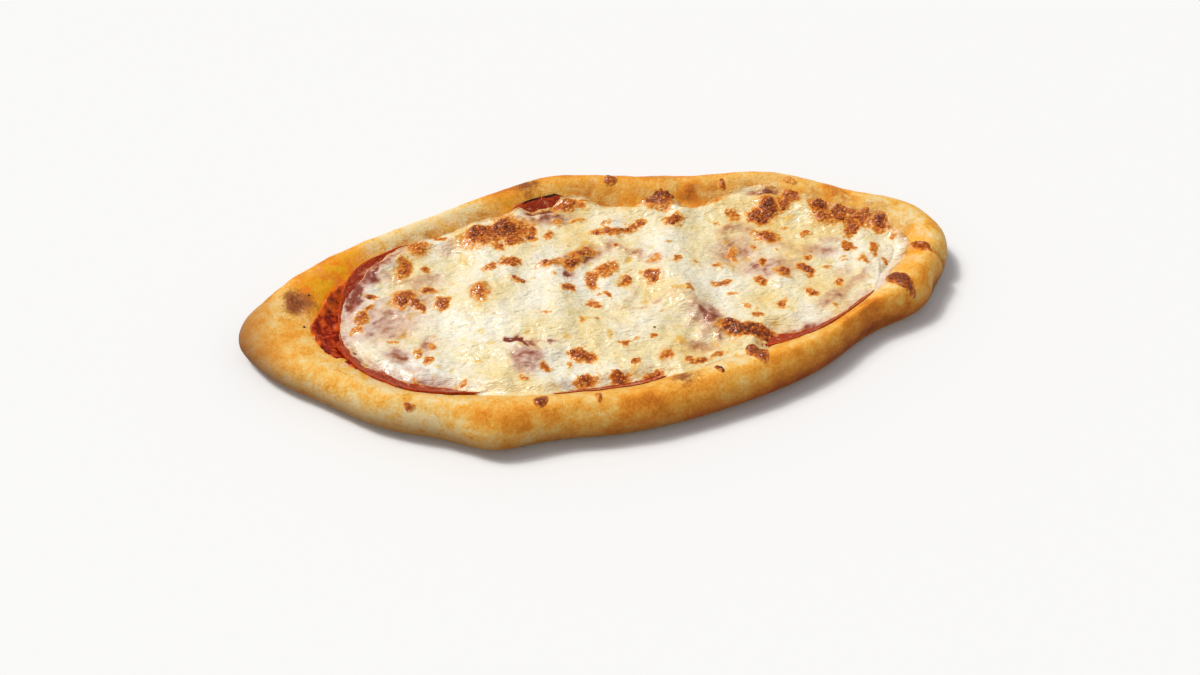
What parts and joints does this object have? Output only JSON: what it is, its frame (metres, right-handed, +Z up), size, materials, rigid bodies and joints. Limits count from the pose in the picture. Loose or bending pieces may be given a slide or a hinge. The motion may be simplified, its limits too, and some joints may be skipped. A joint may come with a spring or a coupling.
{
  "type": "peinirli",
  "caption": "Peinirli: boat-shaped baked dough with a rolled golden rim, tomato sauce, cured meat slices and blistered melted cheese.",
  "frame": {"origin": "centre of the whole part's box on the flat underside it rests on", "axes": "+X along the boat to its blunt end, +Y to the far rim as the picture shows it, +Z up"},
  "size_m": [0.3201, 0.155, 0.0238],
  "materials": {
    "baked_dough": "matte baked crust",
    "tomato_sauce": "wet",
    "cured_meat": "oily",
    "melted_cheese": "soft gloss",
    "browned_cheese": "soft gloss"
  },
  "bodies": {
    "root": {"dough_boat": "baked_dough", "tomato_sauce": "tomato_sauce", "meat_slice_left": "cured_meat", "meat_slice_upper_middle": "cured_meat", "meat_slice_lower_middle": "cured_meat", "meat_slice_right": "cured_meat", "melted_cheese": "melted_cheese", "cheese_drip_01": "browned_cheese", "cheese_drip_02": "browned_cheese", "cheese_drip_03": "browned_cheese", "cheese_drip_04": "browned_cheese", "cheese_drip_05": "browned_cheese", "cheese_drip_06": "browned_cheese", "cheese_drip_07": "browned_cheese", "cheese_drip_08": "browned_cheese", "cheese_drip_09": "browned_cheese", "cheese_drip_10": "browned_cheese"}
  },
  "joints": []
}
